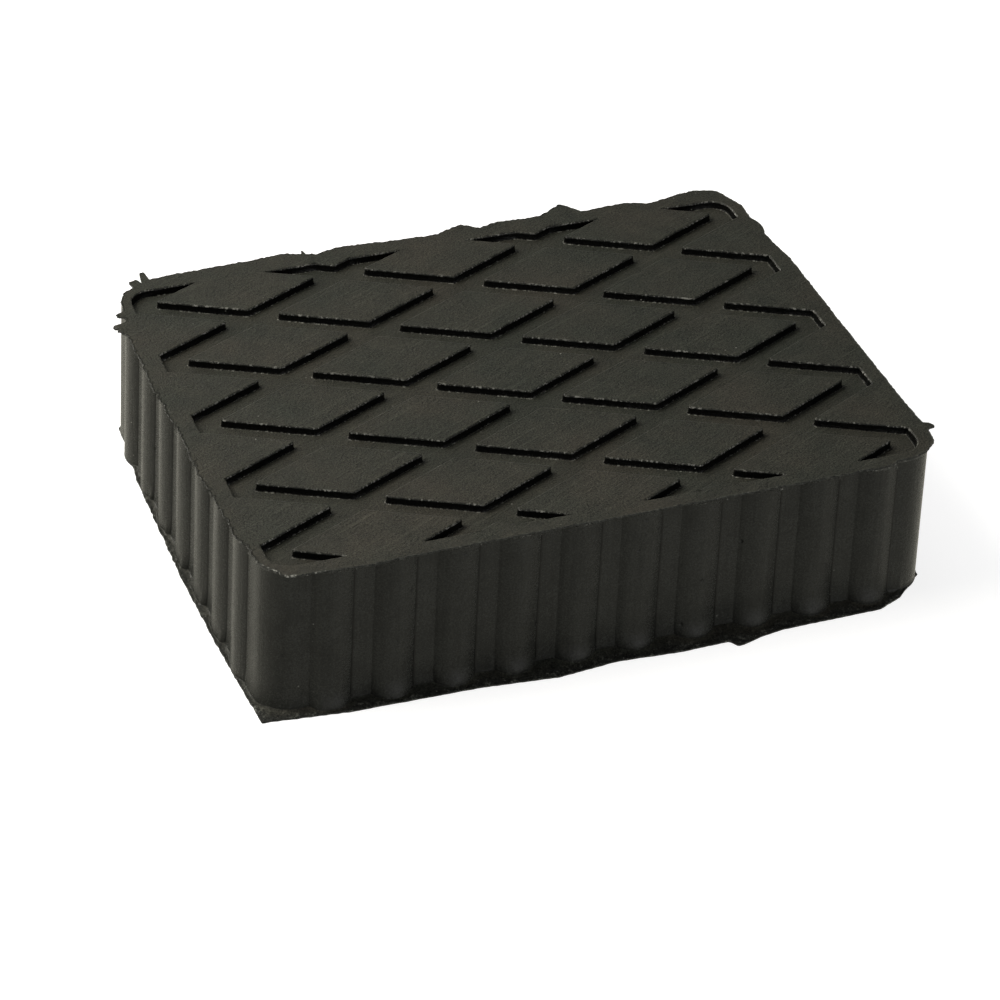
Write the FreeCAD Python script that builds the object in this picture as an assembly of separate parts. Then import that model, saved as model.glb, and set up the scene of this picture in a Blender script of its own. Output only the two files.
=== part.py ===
import FreeCAD, Part
import math
import os

# Overall size in millimetres. Length and width are taken at the top, over the crests of the side ribs.
block_length = 158.0
block_width = 120.0
block_height = 36.5

# How far the ends lean out from the top to the underside, so that the block leaves its mould
side_draft = 0.8

# Upright ribs all round the sides, standing on a flat wall that is set back from their crests
rib_pitch = 13.92
rib_base_width = 9.4
rib_projection = 1.6
wall_corner_radius = 7.5

# Sunk tread window in the top face, with the rim that stays round it
tread_depth = 1.9
end_rim_width = 4.0
side_rim_width = 4.0
window_corner_radius = 5.0
tread_wall_flare = 0.25

# Raised diamonds in the window. One diamond is centred on the block, with its long diagonal along X.
diamond_length = 38.8
diamond_width = 18.9
diamond_step_along = 25.16
diamond_step_across = 12.67
diamond_sharp_tip_radius = 0.5
diamond_blunt_tip_radius = 0.5

# Thin rubber sheets that squeezed out at the mould's two parting lines and were trimmed by knife
top_flash_thickness = 0.7
top_flash_overhang = 5.2
bottom_flash_thickness = 0.5
bottom_flash_overhang = 6.0

# Rounding of the top sheet's corner at the start of each side: front, right, back, left, anticlockwise
top_flash_corner_radii = [2.5, 2.0, 3.0, 3.0]

# Corners of the trimmed sheets, one list per side in the same order. Each is a pair of shares: of the
# side's length, and of the sheet's largest overhang past the rib crests.
top_flash_cuts = [
    [(0.035, -0.10), (0.156, 0.11), (0.216, 0.02), (0.854, 0.0), (0.92, -0.28), (0.975, -0.56)],
    [(0.05, -0.12), (0.091, 0.05), (0.16, -0.04), (0.42, 0.0), (0.717, 0.11), (0.786, -0.10),
     (0.88, -0.20), (0.932, -0.14)],
    [(0.025, 0.06), (0.06, 0.38), (0.14, -0.12), (0.178, 0.23), (0.25, 0.10), (0.273, 1.0), (0.315, 0.27),
     (0.385, 0.31), (0.415, 0.04), (0.441, 0.60), (0.487, 0.05), (0.642, 0.29), (0.674, 0.0),
     (0.72, 0.44), (0.929, 0.12)],
    [(0.03, -0.60), (0.066, -0.42), (0.13, -0.10), (0.155, 0.40), (0.18, 0.13), (0.41, 0.21),
     (0.52, 0.12), (0.654, 0.19), (0.845, 0.02)],
]
bottom_flash_cuts = [
    [(0.006, 0.03), (0.125, 0.37), (0.308, 0.47), (0.419, 0.75), (0.51, 0.52), (0.601, 0.70),
     (0.672, 0.65), (0.68, 1.0), (0.69, 0.98), (0.717, 0.75), (0.753, 0.58), (0.905, 0.53), (0.943, 0.08)],
    [(0.05, -0.28), (0.15, 0.12), (0.40, 0.37), (0.72, 0.22), (0.95, -0.08)],
    [(0.034, -0.10), (0.378, 0.25), (0.703, 0.13), (0.966, -0.05)],
    [(0.05, -0.30), (0.14, -0.25), (0.23, 0.0), (0.53, 0.14), (0.76, 0.09), (0.985, -0.13)],
]


def turned(side, along, outward):
    """Plan point of one side, from its distance along the side and out from the block's centre."""
    quarter_turns = FreeCAD.Rotation(FreeCAD.Vector(0, 0, 1), 90 * side)
    return quarter_turns.multVec(FreeCAD.Vector(along, -outward, 0))


def side_sizes(side):
    """Length of a side, and its distance from the block's centre to the rib crests."""
    if side % 2 == 0:
        return block_length, block_width / 2
    return block_width, block_length / 2


def rounded_outline(corners, height):
    """Closed wire at one height through (plan point, radius) corners, each rounded by its radius."""
    starts = []
    middles = []
    ends = []
    for index, (corner, radius) in enumerate(corners):
        to_last = (corners[index - 1][0] - corner).normalize()
        to_next = (corners[(index + 1) % len(corners)][0] - corner).normalize()
        half_angle = to_last.getAngle(to_next) / 2
        setback = radius / math.tan(half_angle)
        bisector = (to_last + to_next).normalize()
        starts.append(corner + to_last * setback)
        middles.append(corner + bisector * (radius / math.sin(half_angle) - radius))
        ends.append(corner + to_next * setback)
    edges = []
    for index, (corner, radius) in enumerate(corners):
        edges.append(Part.LineSegment(ends[index - 1], starts[index]).toShape())
        if radius > 0:
            edges.append(Part.Arc(starts[index], middles[index], ends[index]).toShape())
    wire = Part.Wire(edges)
    wire.translate(FreeCAD.Vector(0, 0, height))
    return wire


def ribbed_side(side):
    """Edges of one side's profile, with as many ribs as fit between its two corner arcs."""
    side_length, crest_distance = side_sizes(side)
    wall_distance = crest_distance - rib_projection
    flat_end = side_length / 2 - rib_projection - wall_corner_radius
    rib_count = 1 + math.floor((2 * flat_end - rib_base_width) / rib_pitch)
    edges = []
    reached = turned(side, -flat_end, wall_distance)
    for rib in range(rib_count):
        centre = (rib - (rib_count - 1) / 2) * rib_pitch
        foot = turned(side, centre - rib_base_width / 2, wall_distance)
        crest = turned(side, centre, crest_distance)
        far_foot = turned(side, centre + rib_base_width / 2, wall_distance)
        edges.append(Part.LineSegment(reached, foot).toShape())
        edges.append(Part.Arc(foot, crest, far_foot).toShape())
        reached = far_foot
    edges.append(Part.LineSegment(reached, turned(side, flat_end, wall_distance)).toShape())
    return edges


def wall_corner(side):
    """Arc from the end of one side's flat wall to the start of the next."""
    side_length, crest_distance = side_sizes(side)
    along = side_length / 2 - rib_projection - wall_corner_radius
    outward = crest_distance - rib_projection - wall_corner_radius
    diagonal = wall_corner_radius * math.sqrt(0.5)
    start = turned(side, along, outward + wall_corner_radius)
    middle = turned(side, along + diagonal, outward + diagonal)
    end = turned(side, along + wall_corner_radius, outward)
    return Part.Arc(start, middle, end).toShape()


def underside_spread():
    """How much larger the ribbed outline is at the underside than at the top."""
    return 1 + 2 * side_draft / block_length


def ribbed_slice(bottom, top):
    """Part of the block's body between two heights: ribs, flats and round corners."""
    edges = []
    for side in range(4):
        edges += ribbed_side(side)
        edges.append(wall_corner(side))
    profile = Part.Wire(edges)
    outlines = []
    for height in (bottom, top):
        outline = profile.scaled(1 + (underside_spread() - 1) * (1 - height / block_height))
        outline.translate(FreeCAD.Vector(0, 0, height))
        outlines.append(outline)
    return Part.makeLoft(outlines, True, True)


def ribbed_body():
    """The block's body in three slices that meet at the faces of the flash."""
    levels = [0, bottom_flash_thickness, block_height - top_flash_thickness, block_height]
    return [ribbed_slice(bottom, top) for bottom, top in zip(levels, levels[1:])]


def flash_sheet(cuts, spread, largest_overhang, corner_radii, bottom, thickness):
    """A thin trimmed sheet that closes the flutes between the ribs at one parting line."""
    corners = []
    for side, side_cuts in enumerate(cuts):
        side_length, crest_distance = side_sizes(side)
        for index, (share, overhang_share) in enumerate(side_cuts):
            along = (share - 0.5) * side_length * spread
            outward = crest_distance * spread + overhang_share * largest_overhang
            radius = corner_radii[side] if index == 0 else 0
            corners.append((turned(side, along, outward), radius))
    sheet = Part.Face(rounded_outline(corners, bottom))
    return sheet.extrude(FreeCAD.Vector(0, 0, thickness))


def top_flash():
    """The sheet at the top face, with a round corner at the start of each side."""
    bottom = block_height - top_flash_thickness
    return flash_sheet(
        top_flash_cuts, 1, top_flash_overhang, top_flash_corner_radii, bottom, top_flash_thickness
    )


def bottom_flash():
    """The sheet at the underside, cut to straight facets and left pointed at its corners."""
    pointed = [0, 0, 0, 0]
    return flash_sheet(
        bottom_flash_cuts, underside_spread(), bottom_flash_overhang, pointed, 0, bottom_flash_thickness
    )


def window_outline(inset, height):
    """Outline of the tread window, drawn in by an inset."""
    half_length = block_length / 2 - end_rim_width - inset
    half_width = block_width / 2 - side_rim_width - inset
    radius = window_corner_radius - inset
    signs = [(-1, -1), (1, -1), (1, 1), (-1, 1)]
    corners = [(FreeCAD.Vector(x * half_length, y * half_width, 0), radius) for x, y in signs]
    return rounded_outline(corners, height)


def diamond_outline(growth, height):
    """Outline of the middle diamond, with its walls moved out by a growth."""
    reach = growth * math.hypot(diamond_length, diamond_width)
    half_length = diamond_length / 2 + reach / diamond_width
    half_width = diamond_width / 2 + reach / diamond_length
    sharp_radius = diamond_sharp_tip_radius + growth
    blunt_radius = diamond_blunt_tip_radius + growth
    corners = [
        (FreeCAD.Vector(half_length, 0, 0), sharp_radius),
        (FreeCAD.Vector(0, half_width, 0), blunt_radius),
        (FreeCAD.Vector(-half_length, 0, 0), sharp_radius),
        (FreeCAD.Vector(0, -half_width, 0), blunt_radius),
    ]
    return rounded_outline(corners, height)


def diamonds():
    """All raised diamonds that reach into the window, each wider at its foot than at its top."""
    floor = block_height - tread_depth
    wires = [diamond_outline(tread_wall_flare, floor), diamond_outline(0, block_height)]
    middle_diamond = Part.makeLoft(wires, True, True)
    columns = math.ceil((block_length / 2 - end_rim_width) / diamond_step_along)
    rows = math.ceil((block_width / 2 - side_rim_width) / diamond_step_across)
    copies = []
    for column in range(-columns, columns + 1):
        for row in range(-rows, rows + 1):
            if (column + row) % 2 == 0:
                place = FreeCAD.Vector(column * diamond_step_along, row * diamond_step_across, 0)
                copies.append(middle_diamond.translated(place))
    return copies


def tread_recess():
    """The space that is missing from the top face: the window less its diamonds."""
    floor = block_height - tread_depth
    wires = [window_outline(tread_wall_flare, floor), window_outline(0, block_height)]
    window = Part.makeLoft(wires, True, True)
    return window.cut(diamonds())


def lift_block():
    """The whole moulded block, with its trimmed flash and its diamond tread."""
    block = top_flash().fuse(ribbed_body() + [bottom_flash()])
    return block.cut(tread_recess()).removeSplitter()


os.makedirs("parts", exist_ok=True)
shape = lift_block()
shape.exportStep("parts/lift_block.step")
print("solids", len(shape.Solids), "volume in ml", round(shape.Volume / 1000, 1), "valid", shape.isValid())
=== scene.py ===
import math

import bmesh
import bpy
import numpy as np
from mathutils import Matrix, Vector, geometry, noise
from mathutils.bvhtree import BVHTree


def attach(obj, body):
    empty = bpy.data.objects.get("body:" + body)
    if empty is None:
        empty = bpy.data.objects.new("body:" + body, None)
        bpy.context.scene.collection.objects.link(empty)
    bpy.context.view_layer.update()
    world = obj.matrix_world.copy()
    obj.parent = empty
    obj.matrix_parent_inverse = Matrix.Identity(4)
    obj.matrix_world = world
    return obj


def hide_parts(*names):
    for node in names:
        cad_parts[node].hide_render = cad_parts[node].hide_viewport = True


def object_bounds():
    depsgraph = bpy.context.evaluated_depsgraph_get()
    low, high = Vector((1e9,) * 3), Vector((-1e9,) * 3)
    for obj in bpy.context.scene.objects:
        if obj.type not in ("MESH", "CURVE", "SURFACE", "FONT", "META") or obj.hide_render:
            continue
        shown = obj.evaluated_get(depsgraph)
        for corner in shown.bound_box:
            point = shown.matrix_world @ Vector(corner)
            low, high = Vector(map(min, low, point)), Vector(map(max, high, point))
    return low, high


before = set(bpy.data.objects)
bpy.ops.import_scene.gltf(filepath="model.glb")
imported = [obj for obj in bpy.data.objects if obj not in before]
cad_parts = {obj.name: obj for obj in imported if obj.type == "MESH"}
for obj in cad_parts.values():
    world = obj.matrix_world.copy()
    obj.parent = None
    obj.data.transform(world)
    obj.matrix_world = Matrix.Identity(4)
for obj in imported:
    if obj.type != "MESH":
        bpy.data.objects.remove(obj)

bl_info = {
    "name": "Rubber lift block",
    "version": (1, 0, 0),
    "blender": (4, 5, 0),
    "location": "3D View > Sidebar > Lift block",
    "description": "Builds a moulded rubber lift block with its flash and diamond tread, and a plain studio",
    "category": "Object",
}

CAD_LOW, CAD_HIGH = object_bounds()
CAD_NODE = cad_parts["lift_block"]
MM = 0.001

FRONT, RIGHT, BACK, LEFT = range(4)

# Outlines of the tread: distance between points, how far a worn mould edge wanders, the diamonds' tips,
# how far a diamond may reach past the window, and the smallest piece of a diamond that is kept
POINT_SPACING = 0.65 * MM
MOULD_WEAR = 0.10 * MM
TIP_RADIUS = 0.5 * MM
PAST_WINDOW = 0.5 * MM
SMALLEST_PIECE = 5 * MM * MM

# The triangulation works in millimetres, keeps what lies inside its outlines, and joins points that are
# nearer than this
MM_PER_METRE = 1000
KEEP_INSIDE = 1
JOIN_WITHIN = 0.0001

# Points of the skin that are nearer than this are one, a face whose normal is more upright than this is
# level, and an edge that is bent by more than this angle stays sharp
SAME_POINT = 0.002 * MM
LEVEL_NORMAL = 0.99999
SHARP_ANGLE = math.radians(32)

# Ribbed wall: how high its foot swells out over the lower flash, and how near to its top it bends
FOOT_SWELL = 4.5 * MM
TOP_BEND = 0.4 * MM


class BlockSizes(bpy.types.PropertyGroup):
    """Sizes of the moulded block, in metres."""

    length: bpy.props.FloatProperty(
        name="Length", description="Over the rib crests at the top", default=158 * MM, unit="LENGTH"
    )
    width: bpy.props.FloatProperty(
        name="Width", description="Over the rib crests at the top", default=120 * MM, unit="LENGTH"
    )
    height: bpy.props.FloatProperty(
        name="Height", description="From the underside to the tread", default=CAD_HIGH.z, unit="LENGTH"
    )
    draft: bpy.props.FloatProperty(
        name="Draft", description="How far each end leans out below", default=0.8 * MM, unit="LENGTH"
    )
    rib_pitch: bpy.props.FloatProperty(
        name="Rib pitch", description="From one rib's crest to the next", default=13.92 * MM, unit="LENGTH"
    )
    rib_base: bpy.props.FloatProperty(
        name="Rib base", description="Width of a rib at the wall", default=9.4 * MM, unit="LENGTH"
    )
    rib_projection: bpy.props.FloatProperty(
        name="Rib projection", description="From the wall to a crest", default=1.6 * MM, unit="LENGTH"
    )
    corner_radius: bpy.props.FloatProperty(
        name="Corner radius", description="Of the upright corners", default=7.5 * MM, unit="LENGTH"
    )
    tread_depth: bpy.props.FloatProperty(
        name="Tread depth", description="From the diamonds down to the floor", default=1.9 * MM, unit="LENGTH"
    )
    end_rim: bpy.props.FloatProperty(
        name="End rim", description="Width of the rim at the short ends", default=4.0 * MM, unit="LENGTH"
    )
    side_rim: bpy.props.FloatProperty(
        name="Side rim", description="Width of the rim at the long sides", default=4.0 * MM, unit="LENGTH"
    )
    window_radius: bpy.props.FloatProperty(
        name="Window radius", description="Corner radius of the sunk tread", default=5.0 * MM, unit="LENGTH"
    )
    diamond_length: bpy.props.FloatProperty(
        name="Diamond length", description="Long diagonal of a diamond", default=38.8 * MM, unit="LENGTH"
    )
    diamond_width: bpy.props.FloatProperty(
        name="Diamond width", description="Short diagonal of a diamond", default=18.9 * MM, unit="LENGTH"
    )
    step_along: bpy.props.FloatProperty(
        name="Step along", description="Half the diamonds' pitch along X", default=25.16 * MM, unit="LENGTH"
    )
    step_across: bpy.props.FloatProperty(
        name="Step across", description="Half the diamonds' pitch along Y", default=12.67 * MM, unit="LENGTH"
    )
    top_flash: bpy.props.FloatProperty(
        name="Top flash", description="Thickness of the upper flash", default=0.7 * MM, unit="LENGTH"
    )
    bottom_flash: bpy.props.FloatProperty(
        name="Bottom flash", description="Thickness of the lower flash", default=0.5 * MM, unit="LENGTH"
    )


class RubberLooks(bpy.types.PropertyGroup):
    """Colours and finish of the rubber."""

    side_colour: bpy.props.FloatVectorProperty(
        name="Side colour", description="Clean moulded rubber", subtype="COLOR", size=4,
        default=(0.0176, 0.0183, 0.0161, 1.0), min=0.0, max=1.0,
    )
    upward_face_colour: bpy.props.FloatVectorProperty(
        name="Bloom colour", description="Greyish bloom on faces that look up", subtype="COLOR", size=4,
        default=(0.0213, 0.0231, 0.0181, 1.0), min=0.0, max=1.0,
    )
    upward_brown_colour: bpy.props.FloatVectorProperty(
        name="Brown colour", description="Warmer patches of the bloom", subtype="COLOR", size=4,
        default=(0.0243, 0.0229, 0.0178, 1.0), min=0.0, max=1.0,
    )
    # Also the colour of the painted glints along the tread walls' edges
    dust_and_glint_colour: bpy.props.FloatVectorProperty(
        name="Dust colour", description="Pale specks and crumbs", subtype="COLOR", size=4,
        default=(0.30, 0.30, 0.27, 1.0), min=0.0, max=1.0,
    )
    roughness: bpy.props.FloatProperty(
        name="Roughness", description="Roughness of the moulded sides", default=0.25, min=0.0, max=1.0
    )
    gloss: bpy.props.FloatProperty(
        name="Gloss", description="Strength of the rubber's reflections", default=0.11, min=0.0, max=1.0
    )
    relief_depth: bpy.props.FloatProperty(
        name="Relief depth", description="Height of the finest relief", default=0.3 * MM, unit="LENGTH"
    )


class StudioLooks(bpy.types.PropertyGroup):
    """The floor and the light."""

    floor_colour: bpy.props.FloatVectorProperty(
        name="Floor colour", description="Pale floor", subtype="COLOR", size=4,
        default=(0.40, 0.40, 0.40, 1.0), min=0.0, max=1.0,
    )
    floor_glow: bpy.props.FloatProperty(
        name="Floor glow", description="Lifts the floor to white for the camera", default=0.80, min=0.0
    )
    reflected_colour: bpy.props.FloatVectorProperty(
        name="Reflected colour", description="The floor as gloss reflects it", subtype="COLOR", size=4,
        default=(0.90, 0.87, 0.74, 1.0), min=0.0, max=1.0,
    )
    reflected_level: bpy.props.FloatProperty(
        name="Reflected level", description="Brightness of the floor in gloss", default=1.0, min=0.0
    )
    room_level: bpy.props.FloatProperty(
        name="Room level", description="Even light from all round", default=0.12, min=0.0
    )
    lamp_level: bpy.props.FloatProperty(
        name="Lamp level", description="Multiplies the power of every lamp", default=1.0, min=0.0
    )


# Geometry of the block


def side_direction(side, along, outward):
    """Plan vector of one side, turned by quarter turns from the front side."""
    vector = np.array([along, -outward], float)
    for _ in range(side):
        vector = np.array([-vector[1], vector[0]])
    return vector


class Perimeter:
    """Samples round the block's flat wall at the top face, walking anticlockwise from the front left."""

    rib_steps = 28
    flat_steps = 10
    corner_steps = 44

    def __init__(self, sizes):
        self.sizes = sizes
        self.points = []
        self.outward = []
        self.rise = []
        self.side = []
        self.along = []
        self.crease = []
        for side in range(4):
            self.add_side(side)
            self.add_corner(side)
        self.points = np.array(self.points)
        self.outward = np.array(self.outward)
        self.rise = np.array(self.rise)
        self.side = np.array(self.side)
        self.along = np.array(self.along)
        self.crease = np.array(self.crease)

    def half_sizes(self, side):
        """Half the length of a side's flat wall, and that wall's distance from the centre."""
        half_length = self.sizes.length / 2 - self.sizes.rib_projection
        half_width = self.sizes.width / 2 - self.sizes.rib_projection
        if side in (FRONT, BACK):
            return half_length, half_width
        return half_width, half_length

    def add(self, side, point, outward, rise, along, crease=0.0):
        """One sample: its plan point, the way out, its height over the wall and its place along the side."""
        self.points.append(point)
        self.outward.append(outward)
        self.rise.append(rise)
        self.side.append(side)
        self.along.append(along)
        self.crease.append(crease)

    def add_side(self, side):
        """Flats and ribs of one side."""
        half_length, wall = self.half_sizes(side)
        flat_end = half_length - self.sizes.corner_radius
        base, projection = self.sizes.rib_base, self.sizes.rib_projection
        crown_radius = (base * base / 4 + projection * projection) / (2 * projection)
        foot_angle = math.asin(base / 2 / crown_radius)
        rib_count = 1 + math.floor((2 * flat_end - base) / self.sizes.rib_pitch)
        stations = []
        creases = set()
        reached = -flat_end
        for rib in range(rib_count):
            centre = (rib - (rib_count - 1) / 2) * self.sizes.rib_pitch
            for along in np.linspace(reached, centre - base / 2, self.flat_steps, endpoint=False):
                stations.append((along, 0.0))
            for angle in np.linspace(-foot_angle, foot_angle, self.rib_steps, endpoint=False):
                height = crown_radius * math.cos(angle) - (crown_radius - projection)
                stations.append((centre + crown_radius * math.sin(angle), height))
            reached = centre + base / 2
            creases.add(reached)
        for along in np.linspace(reached, flat_end, self.flat_steps, endpoint=False):
            stations.append((along, 0.0))
        outward = side_direction(side, 0, 1)
        for along, rise in stations:
            crease = 1.0 if along in creases else 0.0
            self.add(side, side_direction(side, along, wall), outward, rise, along, crease)

    def add_corner(self, side):
        """Round corner between one side and the next."""
        half_length, wall = self.half_sizes(side)
        radius = self.sizes.corner_radius
        centre = side_direction(side, half_length - radius, wall - radius)
        for angle in np.linspace(0, math.pi / 2, self.corner_steps, endpoint=False):
            outward = side_direction(side, math.sin(angle), math.cos(angle))
            along = half_length - radius + radius * math.sin(angle)
            self.add(side, centre + outward * radius, outward, 0.0, along)

    def spread(self, height):
        """Growth of the plan at a height, from 1 at the top to its largest at the underside."""
        lean = 2 * self.sizes.draft / self.sizes.length
        return 1 + lean * (1 - height / self.sizes.height)

    def ring(self, offset, height):
        """Closed ring of points at an offset from the flat wall and at a height."""
        height = np.broadcast_to(height, len(self.points))
        grow = self.spread(height)[:, None]
        plan = (self.points + self.outward * np.broadcast_to(offset, len(self.points))[:, None]) * grow
        return np.column_stack([plan, height])

    def cad_reach(self, tree, height):
        """How far the CAD solid reaches out from the flat wall at a height."""
        reaches = []
        far = 20 * MM
        starts = self.ring(far, height)
        for start, outward in zip(starts, self.outward):
            hit = tree.ray_cast(Vector(start), Vector((-outward[0], -outward[1], 0)))
            reaches.append(far - hit[3] / self.spread(height))
        return np.array(reaches)


def wave(points, size, seed):
    """Smooth noise from -1 to 1 at each point, with features of one size."""
    shift = Vector((seed * 3.7, seed * 1.9, seed * 7.3))
    return np.array([noise.noise(Vector(point) / size + shift) for point in points])


def closed_rings(rings, first):
    """Quads that join each ring of a list to the next, numbered from a first vertex."""
    count = len(rings[0])
    quads = []
    for row in range(len(rings) - 1):
        low = first + row * count
        for column in range(count):
            after = (column + 1) % count
            quads.append((low + column, low + after, low + count + after, low + count + column))
    return quads


def resampled(corners, radii, spacing):
    """Points at about one spacing round a convex polygon with round corners."""
    pieces = []
    count = len(corners)
    for index, (corner, radius) in enumerate(zip(corners, radii)):
        to_last = corners[index - 1] - corner
        to_next = corners[(index + 1) % count] - corner
        to_last = to_last / np.linalg.norm(to_last)
        to_next = to_next / np.linalg.norm(to_next)
        half_angle = math.acos(float(to_last @ to_next)) / 2
        bisector = (to_last + to_next) / np.linalg.norm(to_last + to_next)
        centre = corner + bisector * radius / math.sin(half_angle)
        sweep = math.pi - 2 * half_angle
        steps = max(3, math.ceil(radius * sweep / spacing))
        for step in np.linspace(-sweep / 2, sweep / 2, steps + 1):
            turn = np.array([[math.cos(step), -math.sin(step)], [math.sin(step), math.cos(step)]])
            pieces.append(centre - turn @ bisector * radius)
    outline = []
    for index, point in enumerate(pieces):
        after = pieces[(index + 1) % len(pieces)]
        steps = max(1, round(float(np.linalg.norm(after - point)) / spacing))
        for step in range(steps):
            outline.append(point + (after - point) * step / steps)
    return np.array(outline)


def roughened(outline, amount, size, seed):
    """An outline whose points are moved sideways by smooth noise, as a worn mould edge is."""
    after = np.roll(outline, -1, axis=0)
    before = np.roll(outline, 1, axis=0)
    along = after - before
    along = along / np.linalg.norm(along, axis=1)[:, None]
    sideways = np.column_stack([along[:, 1], -along[:, 0]])
    points = np.column_stack([outline, np.full(len(outline), seed * MM)])
    return outline + sideways * (amount * wave(points, size, seed))[:, None]


def cut_off(outline, normal, limit):
    """The part of a convex outline that lies on the inner side of a line."""
    past = outline @ normal - limit
    kept = []
    for index, point in enumerate(outline):
        if past[index] * past[index - 1] < 0:
            share = past[index - 1] / (past[index - 1] - past[index])
            kept.append(outline[index - 1] + (point - outline[index - 1]) * share)
        if past[index] <= 0:
            kept.append(point)
    return np.array(kept).reshape(-1, 2)


def enclosed_area(outline):
    """Area inside an outline that runs anticlockwise."""
    after = np.roll(outline, -1, axis=0)
    return float((outline[:, 0] * after[:, 1] - outline[:, 1] * after[:, 0]).sum()) / 2


def tread_outlines(sizes):
    """The window's outline and those of all diamonds that reach into it."""
    half_length = sizes.length / 2 - sizes.end_rim
    half_width = sizes.width / 2 - sizes.side_rim
    signs = [(-1, -1), (1, -1), (1, 1), (-1, 1)]
    corners = [np.array([x * half_length, y * half_width]) for x, y in signs]
    window = resampled(corners, [sizes.window_radius] * 4, POINT_SPACING)
    outlines = [roughened(window, MOULD_WEAR, 0.9 * MM, 1)]
    reach = sizes.diamond_length / 2
    rise = sizes.diamond_width / 2
    tips = [np.array(tip) for tip in [(reach, 0.0), (0.0, rise), (-reach, 0.0), (0.0, -rise)]]
    diamond = resampled(tips, [TIP_RADIUS] * 4, POINT_SPACING)
    # Lines just past the window that cut off each diamond before it can reach the block's edge
    to_corner = (half_length + half_width - (2 - math.sqrt(2)) * sizes.window_radius) / math.sqrt(2)
    lines = []
    for x, y in signs:
        lines.append((np.array([x, 0]), half_length + PAST_WINDOW))
        lines.append((np.array([0, y]), half_width + PAST_WINDOW))
        lines.append((np.array([x, y]) / math.sqrt(2), to_corner + PAST_WINDOW))
    columns = math.ceil(half_length / sizes.step_along)
    rows = math.ceil(half_width / sizes.step_across)
    for column in range(-columns, columns + 1):
        for row in range(-rows, rows + 1):
            outline = diamond + np.array([column * sizes.step_along, row * sizes.step_across])
            for normal, limit in lines:
                outline = cut_off(outline, normal, limit)
            if (column + row) % 2 == 0 and enclosed_area(outline) > SMALLEST_PIECE:
                seed = 2 + column * 31 + row * 7
                outlines.append(roughened(outline, MOULD_WEAR, 0.8 * MM, seed))
    return outlines


class Skin:
    """Vertices and faces of one mesh, gathered before it is made.

    Each vertex carries two shares that the rubber's finish reads: how torn it is, and how much painted
    shade it gets as the wall of a groove, a crease at a rib's foot or the hollow under the lip.
    """

    def __init__(self):
        self.vertices = []
        self.faces = []
        self.torn = []
        self.groove_shade = []

    def add_points(self, points, torn=0.0, groove_shade=0.0):
        """Adds points and returns the index of the first."""
        first = len(self.vertices)
        self.vertices.extend(tuple(float(value) for value in point) for point in points)
        self.torn.extend(np.broadcast_to(torn, len(points)))
        self.groove_shade.extend(np.broadcast_to(groove_shade, len(points)))
        return first

    def to_object(self, name, sharp_angle):
        """Makes the mesh object, joined where points meet, smooth except over sharp edges."""
        mesh = bpy.data.meshes.new(name)
        mesh.from_pydata(self.vertices, [], self.faces)
        for title, shares in (("torn", self.torn), ("groove_shade", self.groove_shade)):
            mesh.attributes.new(title, "FLOAT", "POINT").data.foreach_set("value", shares)
        mesh.validate()
        work = bmesh.new()
        work.from_mesh(mesh)
        loose = [vertex for vertex in work.verts if not vertex.link_faces]
        bmesh.ops.delete(work, geom=loose, context="VERTS")
        bmesh.ops.remove_doubles(work, verts=work.verts, dist=SAME_POINT)
        work.to_mesh(mesh)
        work.free()
        mesh.set_sharp_from_angle(angle=sharp_angle)
        for face in mesh.polygons:
            face.use_smooth = abs(face.normal.z) < LEVEL_NORMAL
        piece = bpy.data.objects.new(name, mesh)
        bpy.context.scene.collection.objects.link(piece)
        return piece


# How a tread wall runs from a diamond's top edge down to the floor: shares of the tread depth, with
# the sideways move in millimetres and the share of painted shade that it gets as a groove's wall; where
# that share rises at the top edge and the foot, a painted lighter line and painted glints are put.
TREAD_WALL = [
    (0.0, -0.32, 0.0),
    (0.04, -0.14, 0.12),
    (0.13, 0.0, 0.5),
    (0.25, 0.04, 1.0),
    (0.50, 0.06, 1.0),
    (0.84, 0.14, 1.0),
    (0.95, 0.27, 0.9),
    (1.0, 0.52, 0.0),
]


def triangulated(outlines):
    """Plan points, triangles, and the numbers of the outlines that hold each triangle."""
    points = []
    loops = []
    for outline in outlines:
        loops.append(list(range(len(points), len(points) + len(outline))))
        points.extend(Vector(point) * MM_PER_METRE for point in outline)
    plan, _, faces, _, _, owners = geometry.delaunay_2d_cdt(points, [], loops, KEEP_INSIDE, JOIN_WITHIN)
    return np.array([tuple(point) for point in plan]) * MM, faces, owners


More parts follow.
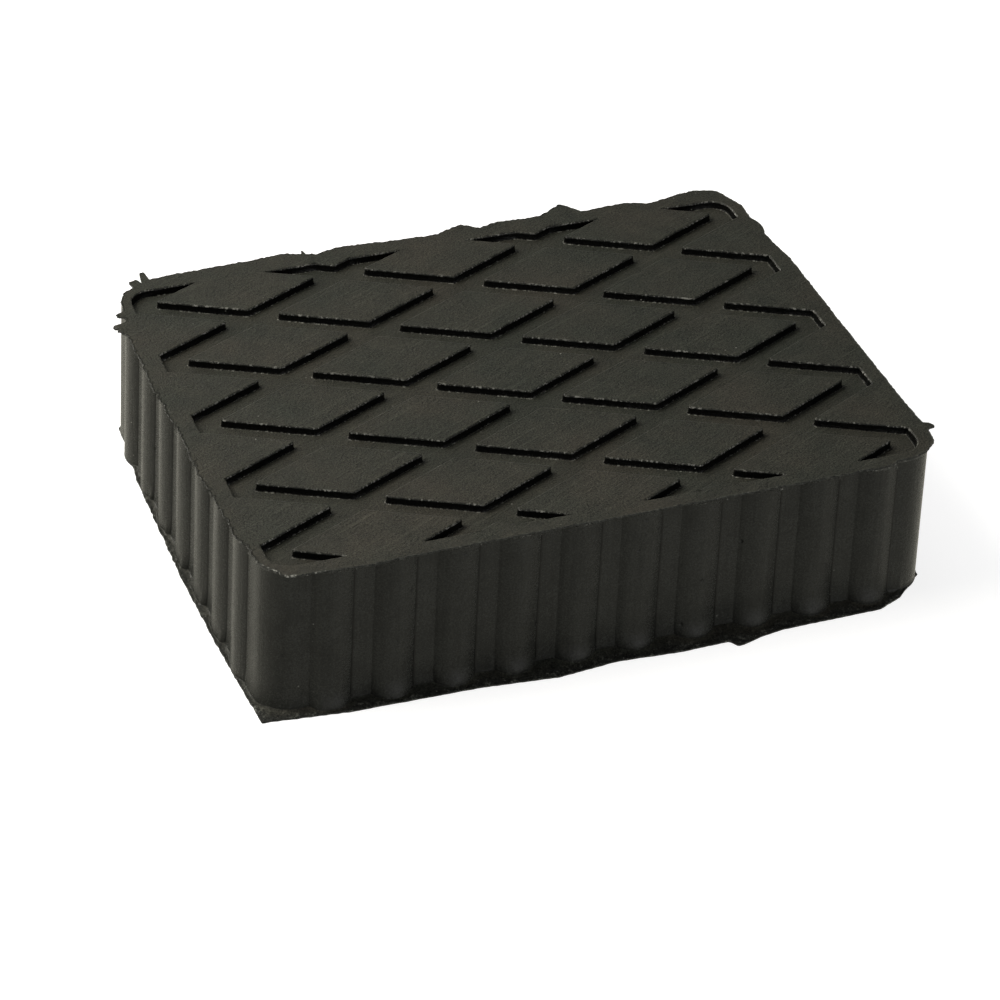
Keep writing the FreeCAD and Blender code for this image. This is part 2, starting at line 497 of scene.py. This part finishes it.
def add_tread(skin, sizes, rim):
    """The top face inside the rim's outer ring: diamonds, rim, their walls and the sunk floor."""
    plan, faces, owners = triangulated([rim[:, :2]] + tread_outlines(sizes))
    kept = [(face, set(owner) == {0, 1}) for face, owner in zip(faces, owners) if 0 in owner]

    # Edges where the raised top meets the sunk floor, in the order in which the top's faces walk them
    owner_of_edge = {}
    for face, is_sunk in kept:
        for index, start in enumerate(face):
            owner_of_edge[(start, face[(index + 1) % len(face)])] = is_sunk
    steps = []
    for edge, is_sunk in owner_of_edge.items():
        if not is_sunk and owner_of_edge.get(edge[::-1]):
            steps.append(edge)
    tiny = 1e-9
    lean = np.zeros_like(plan)
    for start, end in steps:
        along = plan[end] - plan[start]
        sideways = np.array([along[1], -along[0]]) / max(np.linalg.norm(along), tiny)
        lean[start] += sideways
        lean[end] += sideways
    reach = np.linalg.norm(lean, axis=1)
    on_step = reach > 0.1  # Sums of unit vectors, so a point off every step has none
    lean[on_step] /= reach[on_step][:, None]
    lean[~on_step] = 0

    rows = []
    unevenness = 0.06 * wave(np.column_stack([plan, np.zeros(len(plan))]), 0.9 * MM, 5)
    for share, move, groove_shade in TREAD_WALL:
        moved = plan + lean * ((move + unevenness * groove_shade) * MM)[:, None]
        height = np.full(len(plan), sizes.height - share * sizes.tread_depth)
        rows.append(skin.add_points(np.column_stack([moved, height]), groove_shade=groove_shade))
    top, floor = rows[0], rows[-1]
    for face, is_sunk in kept:
        base = floor if is_sunk else top
        skin.faces.append(tuple(base + vertex for vertex in face))
    for start, end in steps:
        for upper, lower in zip(rows, rows[1:]):
            skin.faces.append((upper + start, lower + start, lower + end, upper + end))


def add_underside(skin, ring):
    """The flat underside inside its outer ring."""
    plan, faces, _ = triangulated([ring[:, :2]])
    first = skin.add_points(np.column_stack([plan, np.full(len(plan), ring[0][2])]))
    skin.faces.extend(tuple(first + vertex for vertex in reversed(face)) for face in faces)


# Torn bits of the upper flash, in millimetres: side, distance along the side from its middle, overhang
# past the rib crests, half width, and how far the tip is lifted, or hangs where that is below zero
NIBS = [
    (BACK, 69.3, 4.4, 1.0, 0.0),
    (BACK, 71.6, 1.6, 1.1, 0.0),
    (BACK, 30.6, 2.8, 0.5, 0.0),
    (LEFT, -42.3, 2.9, 1.9, -0.4),
    (LEFT, -47.3, 1.0, 1.0, 0.0),
    (LEFT, 12.0, 0.6, 0.9, -0.3),
    (RIGHT, -53.1, 1.2, 0.9, 0.0),
    (RIGHT, -47.9, 2.3, 1.4, -0.2),
]

# How far the knife's edge wanders on each side, in millimetres, at the upper flash and at the lower one
LIP_WANDER = {FRONT: 0.32, RIGHT: 0.22, BACK: 0.48, LEFT: 0.75}
FOOT_WANDER = {FRONT: 0.12, RIGHT: 0.12, BACK: 0.12, LEFT: 0.26}


def wander_round(perimeter, wander):
    """How far the knife's edge wanders at each sample of the perimeter."""
    return np.array([wander[side] * MM for side in perimeter.side])


def ragged_lip(perimeter, reach):
    """Outer edge of the upper flash, torn by the trimming: offsets from the flat wall, and drops."""
    sizes = perimeter.sizes
    ring = perimeter.ring(reach, sizes.height)
    amount = wander_round(perimeter, LIP_WANDER)
    coarse = wave(ring, 4 * MM, 11)
    fine = wave(ring, 0.9 * MM, 12)
    edge = reach + amount * (0.5 * coarse + 0.9 * fine)
    drop = np.zeros(len(edge))
    for side, along, overhang, half_width, fall in NIBS:
        closeness = 1 - abs(perimeter.along - along * MM) / (half_width * MM)
        blunt = np.clip(2.6 * closeness, 0, 1)
        ragged = blunt * np.clip(0.8 + 0.45 * fine, 0, 1)
        spike = sizes.rib_projection + overhang * MM * ragged
        hit = (perimeter.side == side) & (closeness > 0)
        edge = np.where(hit, np.maximum(edge, spike), edge)
        drop = np.where(hit, fall * MM * closeness, drop)
    return np.maximum(edge, perimeter.rise + 0.03 * MM), drop


def foot_flare(perimeter, tree):
    """How far the wall's foot swells out over the lower flash, most at the rib crests."""
    sizes = perimeter.sizes
    reach = perimeter.cad_reach(tree, sizes.bottom_flash / 2)
    wanted = (0.3 + 0.9 * perimeter.rise / sizes.rib_projection) * MM
    sheet_left = 0.9 * MM
    return np.clip(np.minimum(wanted, reach - perimeter.rise - sheet_left), 0, None)


# Rows of the lower flash's top from its edge to the wall: share of the way in, and how torn it is there
LOWER_FLASH_ROWS = [
    (0.10, 1.0), (0.24, 1.0), (0.38, 0.9), (0.52, 0.6), (0.66, 0.35), (0.80, 0.2), (0.92, 0.1)
]


def lower_flash_rings(perimeter, tree, flare):
    """Rings of the lower flash from the underside up to the wall, with their torn and groove shares."""
    sizes = perimeter.sizes
    foot = perimeter.rise + flare
    sheet = sizes.bottom_flash
    reach = perimeter.cad_reach(tree, sheet / 2)
    flat = perimeter.ring(reach, 0)
    knife = wander_round(perimeter, FOOT_WANDER) * wave(flat, 1.3 * MM, 21)
    edge = np.maximum(reach + knife - 0.05 * MM, foot + 0.02 * MM)
    rings = [
        (perimeter.ring(edge - 0.04 * MM, 0.0), 0.0, 0.0),
        (perimeter.ring(edge, 0.12 * MM), 1.0, 0.0),
        (perimeter.ring(edge + 0.06 * MM, 0.55 * sheet), 1.0, 0.0),
        (perimeter.ring(edge - 0.05 * MM, 0.92 * sheet), 1.0, 0.0),
    ]
    room = np.clip((edge - foot) / (0.7 * MM), 0, 1)
    fillet = (0.60 + 0.35 * (1 - perimeter.rise / sizes.rib_projection)) * MM
    for share, torn in LOWER_FLASH_ROWS:
        offset = edge * (1 - share) + foot * share
        flat = perimeter.ring(offset, sheet)
        lumps = 0.26 * wave(flat, 1.1 * MM, 31) + 0.20 * wave(flat, 0.55 * MM, 32)
        level = 0.9 * sheet * (1 - share) + fillet * share ** 1.5
        level = np.maximum(level + lumps * MM * room * (1 - 0.6 * share), 0.15 * MM)
        rings.append((perimeter.ring(offset, level), torn, 0.0))
    level = fillet + (0.10 + 0.08 * wave(flat, 1.5 * MM, 33)) * MM
    # The ring at the wall's foot gets some painted shade, as in a crease
    rings.append((perimeter.ring(foot + 0.02 * MM, level), 0.1, 0.35))
    return rings


def wall_rings(perimeter, flare, bottom, top):
    """Rings of the ribbed wall, a little uneven as rubber comes out of its mould."""
    rings = []
    # Painted shade along the crease at each rib's foot
    groove_shade = 0.9 * perimeter.crease
    feet = [bottom + FOOT_SWELL * share for share in (0.0, 0.12, 0.28, 0.5, 0.75)]
    for level in [*feet, *np.linspace(bottom + FOOT_SWELL, top - TOP_BEND, 6), top]:
        flat = perimeter.ring(perimeter.rise, level)
        sway = 0.06 * wave(flat * (1, 1, 0.3), 8 * MM, 41) + 0.03 * wave(flat * (1, 1, 0.4), 2 * MM, 42)
        foot = flare * max(0.0, 1 - (level - bottom) / FOOT_SWELL) ** 2
        rings.append((perimeter.ring(perimeter.rise + foot + sway * MM, level), 0.0, groove_shade))
    return rings


def upper_flash_rings(perimeter, tree, wall_top):
    """Rings of the upper flash from under its lip, round its torn edge and onto the top face."""
    sizes = perimeter.sizes
    rise = perimeter.rise
    height = sizes.height
    lip, drop = ragged_lip(perimeter, perimeter.cad_reach(tree, height - sizes.top_flash / 2))
    flat = perimeter.ring(lip, 0)
    hanging = np.clip(wave(flat, 2.6 * MM, 52), 0, 1) + 0.5 * np.clip(wave(flat, 0.8 * MM, 53), 0, 1)
    thickness = sizes.top_flash * (0.40 + 0.18 * wave(flat, 2 * MM, 51) + 0.75 * hanging)
    rings = []
    # The rows under the lip get painted shade, as under an overhang
    for share in (0.35, 0.75):
        level = wall_top + 0.1 * MM + (height - thickness - wall_top - 0.1 * MM) * share
        rings.append((perimeter.ring(rise * (1 - share) + lip * share, level), share, 0.5))
    rings.append((perimeter.ring(lip - 0.03 * MM, height - thickness + drop), 1.0, 0.0))
    rings.append((perimeter.ring(lip, height - 0.45 * thickness + drop), 1.0, 0.0))
    rings.append((perimeter.ring(lip - 0.08 * MM, height - 0.03 * MM + drop), 1.0, 0.0))
    rings.append((perimeter.ring(lip - 0.45 * MM, height), 0.0, 0.0))
    return rings


def make_block(sizes):
    """The whole moulded block as one closed skin."""
    tree = BVHTree.FromPolygons(
        [vertex.co.copy() for vertex in CAD_NODE.data.vertices],
        [tuple(polygon.vertices) for polygon in CAD_NODE.data.polygons],
    )
    perimeter = Perimeter(sizes)
    wall_bottom = sizes.bottom_flash + 0.85 * MM
    wall_top = sizes.height - sizes.top_flash - 0.1 * MM
    flare = foot_flare(perimeter, tree)
    rings = lower_flash_rings(perimeter, tree, flare)
    rings += wall_rings(perimeter, flare, wall_bottom, wall_top)
    rings += upper_flash_rings(perimeter, tree, wall_top)
    skin = Skin()
    first = len(skin.vertices)
    for ring, torn, groove_shade in rings:
        skin.add_points(ring, torn=torn, groove_shade=groove_shade)
    skin.faces.extend(closed_rings([ring for ring, _, _ in rings], first))
    add_underside(skin, rings[0][0])
    add_tread(skin, sizes, rings[-1][0])
    return skin.to_object("moulded_block", SHARP_ANGLE)


WHITE = (1.0, 1.0, 1.0, 1.0)
ROOM_COLOUR = (0.97, 0.98, 1.0, 1.0)


# Shader building


class Value:
    """A shader socket that takes part in ordinary arithmetic."""

    def __init__(self, graph, socket):
        self.graph = graph
        self.socket = socket

    def maths(self, operation, first, second):
        node = self.graph.add("ShaderNodeMath", {"operation": operation}, {0: first, 1: second})
        return node["Value"]

    def __add__(self, other):
        return self.maths("ADD", self, other)

    __radd__ = __add__

    def __sub__(self, other):
        return self.maths("SUBTRACT", self, other)

    def __rsub__(self, other):
        return self.maths("SUBTRACT", other, self)

    def __mul__(self, other):
        return self.maths("MULTIPLY", self, other)

    __rmul__ = __mul__

    def __gt__(self, other):
        return self.maths("GREATER_THAN", self, other)

    def __lt__(self, other):
        return self.maths("LESS_THAN", self, other)


class Node:
    """A shader node whose outputs are read by name."""

    def __init__(self, graph, node):
        self.graph = graph
        self.node = node

    def __getitem__(self, name):
        return Value(self.graph, self.node.outputs[name])


class Graph:
    """The node tree of one material or of the world."""

    def __init__(self, owner):
        owner.use_nodes = True
        self.tree = owner.node_tree
        self.tree.nodes.clear()

    def add(self, kind, settings=None, inputs=None):
        """Adds a node of a kind, sets it up, then gives its inputs their values or links."""
        node = self.tree.nodes.new(kind)
        for name, setting in (settings or {}).items():
            if name == "stops":
                self.set_stops(node.color_ramp, setting)
            else:
                setattr(node, name, setting)
        for name, given in (inputs or {}).items():
            if isinstance(given, Value):
                self.tree.links.new(given.socket, node.inputs[name])
            else:
                node.inputs[name].default_value = given
        return Node(self, node)

    def set_stops(self, ramp, stops):
        """Gives a colour ramp its stops, each a position and a grey level."""
        for index, (position, level) in enumerate(stops):
            element = ramp.elements[index] if index < 2 else ramp.elements.new(position)
            element.position = position
            element.color = (level, level, level, 1)

    def noise(self, vector, scale, detail=2.0, roughness=0.5):
        """Noise level of one scale."""
        inputs = {"Vector": vector, "Scale": scale, "Detail": detail, "Roughness": roughness}
        return self.add("ShaderNodeTexNoise", {}, inputs)["Fac"]

    def ramp(self, value, low, high):
        """Value spread so that low gives 0 and high gives 1."""
        node = self.add(
            "ShaderNodeMapRange", {"clamp": True}, {"Value": value, "From Min": low, "From Max": high}
        )
        return node["Result"]

    def streaks(self, vector, angle, along, across):
        """Noise drawn out into level streaks at an angle from X, by its scales along and across them."""
        inputs = {"Vector": vector, "Angle": -angle}
        turned = self.add("ShaderNodeVectorRotate", {"rotation_type": "Z_AXIS"}, inputs)["Vector"]
        drawn_out = self.vector_maths("MULTIPLY", turned, (along, across, along))["Vector"]
        return self.noise(drawn_out, 1.0, 3.0, 0.6)

    def vector_maths(self, operation, first, second):
        """Vector Math node of one operation on two vectors."""
        return self.add("ShaderNodeVectorMath", {"operation": operation}, {0: first, 1: second})

    def cells(self, vector, scale):
        """Distance from the middle of the nearest cell, and that cell's own random red, green and blue."""
        node = self.add("ShaderNodeTexVoronoi", {"feature": "F1"}, {"Vector": vector, "Scale": scale})
        return node["Distance"], self.add("ShaderNodeSeparateColor", {}, {"Color": node["Color"]})

    def height_of(self, vector):
        """Upright part of a vector."""
        return self.add("ShaderNodeSeparateXYZ", {}, {"Vector": vector})["Z"]

    def share(self, title):
        """One of the shares that the mesh carries."""
        return self.add("ShaderNodeAttribute", {"attribute_name": title})["Fac"]

    def mix(self, share, first, second, blend="MIX"):
        """Colour mix of two colours or sockets."""
        node = self.add("ShaderNodeMix", {"data_type": "RGBA", "blend_type": blend}, {"Factor": share})
        colours = [socket for socket in node.node.inputs if socket.type == "RGBA"]
        for socket, given in zip(colours, (first, second)):
            if isinstance(given, Value):
                self.tree.links.new(given.socket, socket)
            else:
                socket.default_value = given
        result = next(socket for socket in node.node.outputs if socket.type == "RGBA")
        return Value(self, result)

    def finish(self, shader, output="ShaderNodeOutputMaterial"):
        """Links the last shader to the output."""
        self.add(output, {}, {"Surface": shader})


class RubberMarks:
    """Shares and noise levels from which the rubber's colour, roughness and relief are mixed."""

    def __init__(self, graph, sizes):
        place = graph.add("ShaderNodeTexCoord")["Object"]
        normal = graph.add("ShaderNodeNewGeometry")["Normal"]
        self.up = graph.ramp(graph.height_of(normal), 0.55, 0.95)
        self.torn = graph.share("torn")
        # Share of painted shade: grooves, rib creases and the hollow under the lip
        self.groove_shade = graph.share("groove_shade")
        self.add_noises(graph, place)
        self.add_tool_lines(graph, place, sizes)
        self.add_specks_and_dents(graph, place)
        self.add_edges(graph, place, sizes)

    def add_noises(self, graph, place):
        """Noise from wide clouds down to the finest grain, and streaks down the walls."""
        self.clouds = graph.noise(place, 40.0, 4.0, 0.6)
        self.patches = graph.noise(place, 190.0, 4.0, 0.6)
        self.grain = graph.noise(place, 2600.0, 4.0, 0.75)
        self.pits = graph.noise(place, 1100.0, 3.0, 0.6)
        self.clods = graph.noise(place, 1100.0, 3.0, 0.65)
        upright = graph.vector_maths("MULTIPLY", place, (900.0, 900.0, 25.0))["Vector"]
        self.runs = graph.noise(upright, 1.0, 2.0, 0.6)

    def add_tool_lines(self, graph, place, sizes):
        """Fine lines that run with the diamonds' sides, one way more than the other."""
        drag = math.atan2(sizes.step_across, sizes.step_along)
        self.drag_lines = graph.streaks(place, drag, 40.0, 1500.0)
        cross_lines = graph.streaks(place, -drag, 60.0, 1900.0)
        self.scratches = graph.ramp(self.drag_lines, 0.58, 0.74) + graph.ramp(cross_lines, 0.62, 0.78) * 0.6

    def add_specks_and_dents(self, graph, place):
        """Pale specks anywhere, and small dents on the sides, painted darker as shade in a hollow."""
        distance, pick = graph.cells(place, 330.0)
        self.specks = graph.ramp(distance, 0.075, 0.02) * (pick["Red"] > 0.75) * pick["Green"]
        # Dents are painted darker, as shade in a hollow
        distance, pick = graph.cells(place, 260.0)
        self.dents = graph.ramp(distance, 0.14, 0.05) * (pick["Blue"] > 0.86) * (1.0 - self.up)

    def add_edges(self, graph, place, sizes):
        """The grooves' upper edges with their painted glints and painted lighter line, and the torn rubber
        of the two sheets of flash.
        """
        near_top = graph.height_of(place) > sizes.height - sizes.tread_depth - 0.3 * MM
        self.torn_low = self.torn * (1.0 - near_top)
        self.torn_high = self.torn * near_top
        # Painted highlights: a lighter line and glints where the groove shade starts, at the tread walls' top
        # edge and foot
        self.edge = self.groove_shade * (1.0 - self.groove_shade) * 4.0 * near_top
        sparkle = graph.ramp(graph.noise(place, 1300.0, 2.0, 0.6), 0.52, 0.64)
        self.glints = self.edge * sparkle * graph.ramp(self.patches, 0.38, 0.54)
        worn_corner = (-sizes.length / 2 + 6 * MM, -sizes.width / 2, sizes.height)
        from_corner = graph.vector_maths("DISTANCE", place, worn_corner)["Value"]
        self.worn = graph.ramp(from_corner, 12 * MM, 3 * MM)
        crumbs = graph.noise(place, 1250.0, 2.0, 0.6) + self.worn * 0.10
        self.flecks = self.torn * graph.ramp(crumbs, 0.64, 0.72)


def rubber_level(graph, marks):
    """How light or dark the rubber is: mottled, with painted shade in grooves, creases and under the lip,
    a painted lighter line along the grooves' top edges, and crumbly where it is torn.
    """
    up = marks.up
    level = 1.0 + (marks.clouds - 0.5) * 0.6 + (marks.patches - 0.5) * 0.8
    level = level + (marks.grain - 0.5) * (3.0 + up * 3.6)
    level = level + marks.scratches * up * 0.50 + (marks.runs - 0.5) * (1.0 - up) * 0.7
    # Painted shade darkens the grooves, the rib creases and the hollow under the lip
    level = level * (1.0 - marks.torn_low * 0.15) * (1.0 - marks.groove_shade * 0.88)
    # Painted highlight: a lighter line along the tread walls' top edges; and painted shade in the small dents
    level = level * (1.0 + marks.edge * 0.8) * (1.0 - marks.dents * 0.3)
    # Pale crumbs on the torn lower flash, partly real crumbs and partly painted glints that light the flash
    # where the wall shades it
    low_crumbs_and_glints = graph.ramp(marks.clods, 0.53, 0.70) * graph.ramp(marks.patches, 0.40, 0.60)
    level = level + marks.torn_low * low_crumbs_and_glints * 7.0
    return level + marks.torn_high * graph.ramp(marks.clods, 0.46, 0.62) * 1.3


def rubber_colour(graph, marks, looks):
    """Sides, and a greyer tone on faces that look up, both mottled, with pale specks, painted glints and
    crumbs.
    """
    level = rubber_level(graph, marks)
    shade = graph.add("ShaderNodeCombineColor", {}, {"Red": level, "Green": level, "Blue": level})["Color"]
    browner = graph.ramp(marks.clouds, 0.35, 0.65)
    upward_tone = graph.mix(browner, tuple(looks.upward_face_colour), tuple(looks.upward_brown_colour))
    # Faces that look up get a lighter, greyer colour than the sides
    base = graph.mix(marks.up * (1.0 - marks.torn), tuple(looks.side_colour), upward_tone)
    base = graph.mix(1.0, base, shade, "MULTIPLY")
    # Pale dust specks and crumbs, and painted glints along the tread edges
    pale = marks.specks * 0.8 + marks.glints * 0.55 + marks.flecks * (0.25 + marks.worn * 0.6)
    return graph.mix(pale, base, tuple(looks.dust_and_glint_colour))


def rubber_roughness(marks, looks):
    """Satin sides, duller where the rubber looks up or is torn, and glossier in the grooves."""
    rough = looks.roughness + marks.up * 0.32 + marks.torn * 0.15
    rough = rough + (marks.patches - 0.5) * 0.3 + (marks.grain - 0.5) * 0.5
    return rough - marks.groove_shade * 0.15 - marks.edge * 0.15


def rubber_relief(graph, marks, looks):
    """Normal of the finest relief: grain, pits, tool lines, torn clods and dents."""
    up = marks.up
    relief = marks.grain * (0.45 + up * 0.45) + marks.pits * (0.3 + up * 0.4)
    relief = relief + marks.drag_lines * up * 0.7 + marks.runs * (1.0 - up) * 0.4
    relief = relief + marks.clods * marks.torn * 2.5 - marks.dents * 0.9
    inputs = {"Strength": 0.8, "Distance": looks.relief_depth, "Height": relief}
    return graph.add("ShaderNodeBump", {}, inputs)["Normal"]


def rubber_material(looks, sizes):
    """Black moulded rubber: greyer where it looks up, tool lines, grain, specks, torn flash,
    and painted shade in the grooves with painted glints on their edges.
    """
    material = bpy.data.materials.new("moulded_rubber")
    graph = Graph(material)
    marks = RubberMarks(graph, sizes)
    shader = graph.add("ShaderNodeBsdfPrincipled", {}, {
        "Base Color": rubber_colour(graph, marks, looks),
        "Roughness": rubber_roughness(marks, looks),
        "Normal": rubber_relief(graph, marks, looks),
        "Specular IOR Level": looks.gloss,
    })
    graph.finish(shader["BSDF"])
    return material


def emission(graph, colour, strength):
    """Light of one colour and strength."""
    return graph.add("ShaderNodeEmission", {}, {"Color": tuple(colour), "Strength": strength})["Emission"]


def mixed_shader(graph, share, first, second):
    """The first shader, with the second one in its place by a share."""
    return graph.add("ShaderNodeMixShader", {}, {0: share, 1: first, 2: second})["Shader"]


def floor_material(looks):
    """Pale floor that meets a white background, shows as bright in gloss, and keeps the block's shadow."""
    material = bpy.data.materials.new("studio_floor")
    graph = Graph(material)
    path = graph.add("ShaderNodeLightPath")
    surface = graph.add("ShaderNodeBsdfDiffuse", {}, {"Color": tuple(looks.floor_colour)})["BSDF"]
    glow = emission(graph, WHITE, looks.floor_glow)
    lit = graph.add("ShaderNodeAddShader", {}, {0: surface, 1: glow})["Shader"]
    seen = mixed_shader(graph, path["Is Camera Ray"], surface, lit)
    reflected = emission(graph, looks.reflected_colour, looks.reflected_level)
    graph.finish(mixed_shader(graph, path["Is Glossy Ray"], seen, reflected))
    return material


def light_world(looks):
    """Soft even light from all round, white where the camera sees it."""
    world = bpy.data.worlds.new("studio")
    bpy.context.scene.world = world
    graph = Graph(world)
    soft = graph.add("ShaderNodeBackground", {}, {"Color": ROOM_COLOUR, "Strength": looks.room_level})
    white = graph.add("ShaderNodeBackground", {}, {"Color": WHITE, "Strength": 1.0})
    path = graph.add("ShaderNodeLightPath")
    both = mixed_shader(graph, path["Is Camera Ray"], soft["Background"], white["Background"])
    graph.finish(both, "ShaderNodeOutputWorld")


def add_softbox(name, place, aim, size, power, colour):
    """A rectangular area lamp that looks at a point."""
    lamp = bpy.data.lights.new(name, "AREA")
    lamp.shape = "RECTANGLE"
    lamp.size, lamp.size_y = size
    lamp.energy = power
    lamp.color = colour
    holder = bpy.data.objects.new(name, lamp)
    holder.location = place
    holder.rotation_euler = (Vector(aim) - Vector(place)).to_track_quat("-Z", "Y").to_euler()
    bpy.context.scene.collection.objects.link(holder)


# Softboxes: name, place, width and height, power in watts, and the colour of the light. The low window
# stands on the floor behind the left end, so it lights the left ribs and only skims the tread.
WARM = (1.0, 0.96, 0.88)
NEUTRAL = (1.0, 1.0, 1.0)
SOFTBOXES = [
    ("low_left_window", (-0.36, 0.56, 0.045), (0.30, 0.09), 2.0, WARM),
    ("left_overhead", (-0.42, 0.16, 0.52), (0.45, 0.45), 7.5, WARM),
    ("back_window", (-0.30, 1.10, 0.95), (0.80, 0.80), 6.4, NEUTRAL),
    ("overhead_lamp", (0.0, 0.10, 1.30), (0.60, 0.60), 0.8, NEUTRAL),
    ("front_fill", (0.35, -0.95, 0.20), (1.20, 0.36), 5.0, NEUTRAL),
]


# Half the floor's width, and the point that every lamp looks at
FLOOR_HALF = 3.0
LAMP_AIM = (0, 0, 0.02)


# Camera, at the place from which the photograph was taken
CAMERA_AZIMUTH = math.radians(-22.14)
CAMERA_ELEVATION = math.radians(35.28)
CAMERA_ROLL = math.radians(2.88)
CAMERA_DISTANCE = 0.8356
CAMERA_AIM = Vector((-0.0020, 0.0009, 0.0001))
CAMERA_LENS = 130.2
SENSOR_WIDTH = 36.0
NEAREST_SEEN = 0.01
FARTHEST_SEEN = 50.0


def add_camera():
    """The camera, turned about its own axis by the photograph's small tilt."""
    azimuth, elevation = CAMERA_AZIMUTH, CAMERA_ELEVATION
    flat = math.cos(elevation)
    back = Vector((math.sin(azimuth) * flat, -math.cos(azimuth) * flat, math.sin(elevation)))
    level = Vector((math.cos(azimuth), math.sin(azimuth), 0))
    upward = back.cross(level)
    across = level * math.cos(CAMERA_ROLL) + upward * math.sin(CAMERA_ROLL)
    upright = upward * math.cos(CAMERA_ROLL) - level * math.sin(CAMERA_ROLL)
    camera = bpy.data.cameras.new("camera")
    camera.lens = CAMERA_LENS
    camera.sensor_width = SENSOR_WIDTH
    camera.clip_start = NEAREST_SEEN
    camera.clip_end = FARTHEST_SEEN
    holder = bpy.data.objects.new("camera", camera)
    turn = Matrix((across, upright, back)).transposed().to_4x4()
    holder.matrix_world = Matrix.Translation(CAMERA_AIM + back * CAMERA_DISTANCE) @ turn
    bpy.context.scene.collection.objects.link(holder)
    bpy.context.scene.camera = holder


class BLOCK_OT_mould(bpy.types.Operator):
    """Mould the block with its ribs, flash and diamond tread"""

    bl_idname = "lift_block.mould"
    bl_label = "Mould the block"

    def execute(self, context):
        scene = context.scene
        block = make_block(scene.block_sizes)
        block.data.materials.append(rubber_material(scene.rubber_looks, scene.block_sizes))
        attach(block, "root")
        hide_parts("lift_block")
        return {"FINISHED"}


class BLOCK_OT_studio(bpy.types.Operator):
    """Set up the pale floor, the soft lamps and the camera"""

    bl_idname = "lift_block.studio"
    bl_label = "Set up the studio"

    def execute(self, context):
        looks = context.scene.studio_looks
        mesh = bpy.data.meshes.new("floor")
        corners = [(-FLOOR_HALF, -FLOOR_HALF, 0), (FLOOR_HALF, -FLOOR_HALF, 0),
                   (FLOOR_HALF, FLOOR_HALF, 0), (-FLOOR_HALF, FLOOR_HALF, 0)]
        mesh.from_pydata(corners, [], [(0, 1, 2, 3)])
        floor = bpy.data.objects.new("floor", mesh)
        mesh.materials.append(floor_material(looks))
        context.scene.collection.objects.link(floor)
        light_world(looks)
        for name, place, size, power, colour in SOFTBOXES:
            add_softbox(name, place, LAMP_AIM, size, power * looks.lamp_level, colour)
        add_camera()
        context.scene.view_settings.view_transform = "Standard"
        return {"FINISHED"}


class BLOCK_PT_panel(bpy.types.Panel):
    """Lists the block's steps and sizes in the sidebar"""

    bl_idname = "BLOCK_PT_panel"
    bl_label = "Lift block"
    bl_space_type = "VIEW_3D"
    bl_region_type = "UI"
    bl_category = "Lift block"

    def draw(self, context):
        layout = self.layout
        layout.operator(BLOCK_OT_mould.bl_idname)
        layout.operator(BLOCK_OT_studio.bl_idname)
        for group in (context.scene.block_sizes, context.scene.rubber_looks, context.scene.studio_looks):
            for name in group.__annotations__:
                layout.prop(group, name)


CLASSES = (BlockSizes, RubberLooks, StudioLooks, BLOCK_OT_mould, BLOCK_OT_studio, BLOCK_PT_panel)


def register():
    """Adds the classes, and gives the scene the sizes and looks."""
    for item in CLASSES:
        bpy.utils.register_class(item)
    bpy.types.Scene.block_sizes = bpy.props.PointerProperty(type=BlockSizes)
    bpy.types.Scene.rubber_looks = bpy.props.PointerProperty(type=RubberLooks)
    bpy.types.Scene.studio_looks = bpy.props.PointerProperty(type=StudioLooks)


def unregister():
    """Takes back what register added."""
    del bpy.types.Scene.studio_looks
    del bpy.types.Scene.rubber_looks
    del bpy.types.Scene.block_sizes
    for item in reversed(CLASSES):
        bpy.utils.unregister_class(item)


def main():
    """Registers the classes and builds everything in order."""
    register()
    bpy.ops.lift_block.mould()
    bpy.ops.lift_block.studio()


if __name__ == "__main__":
    main()
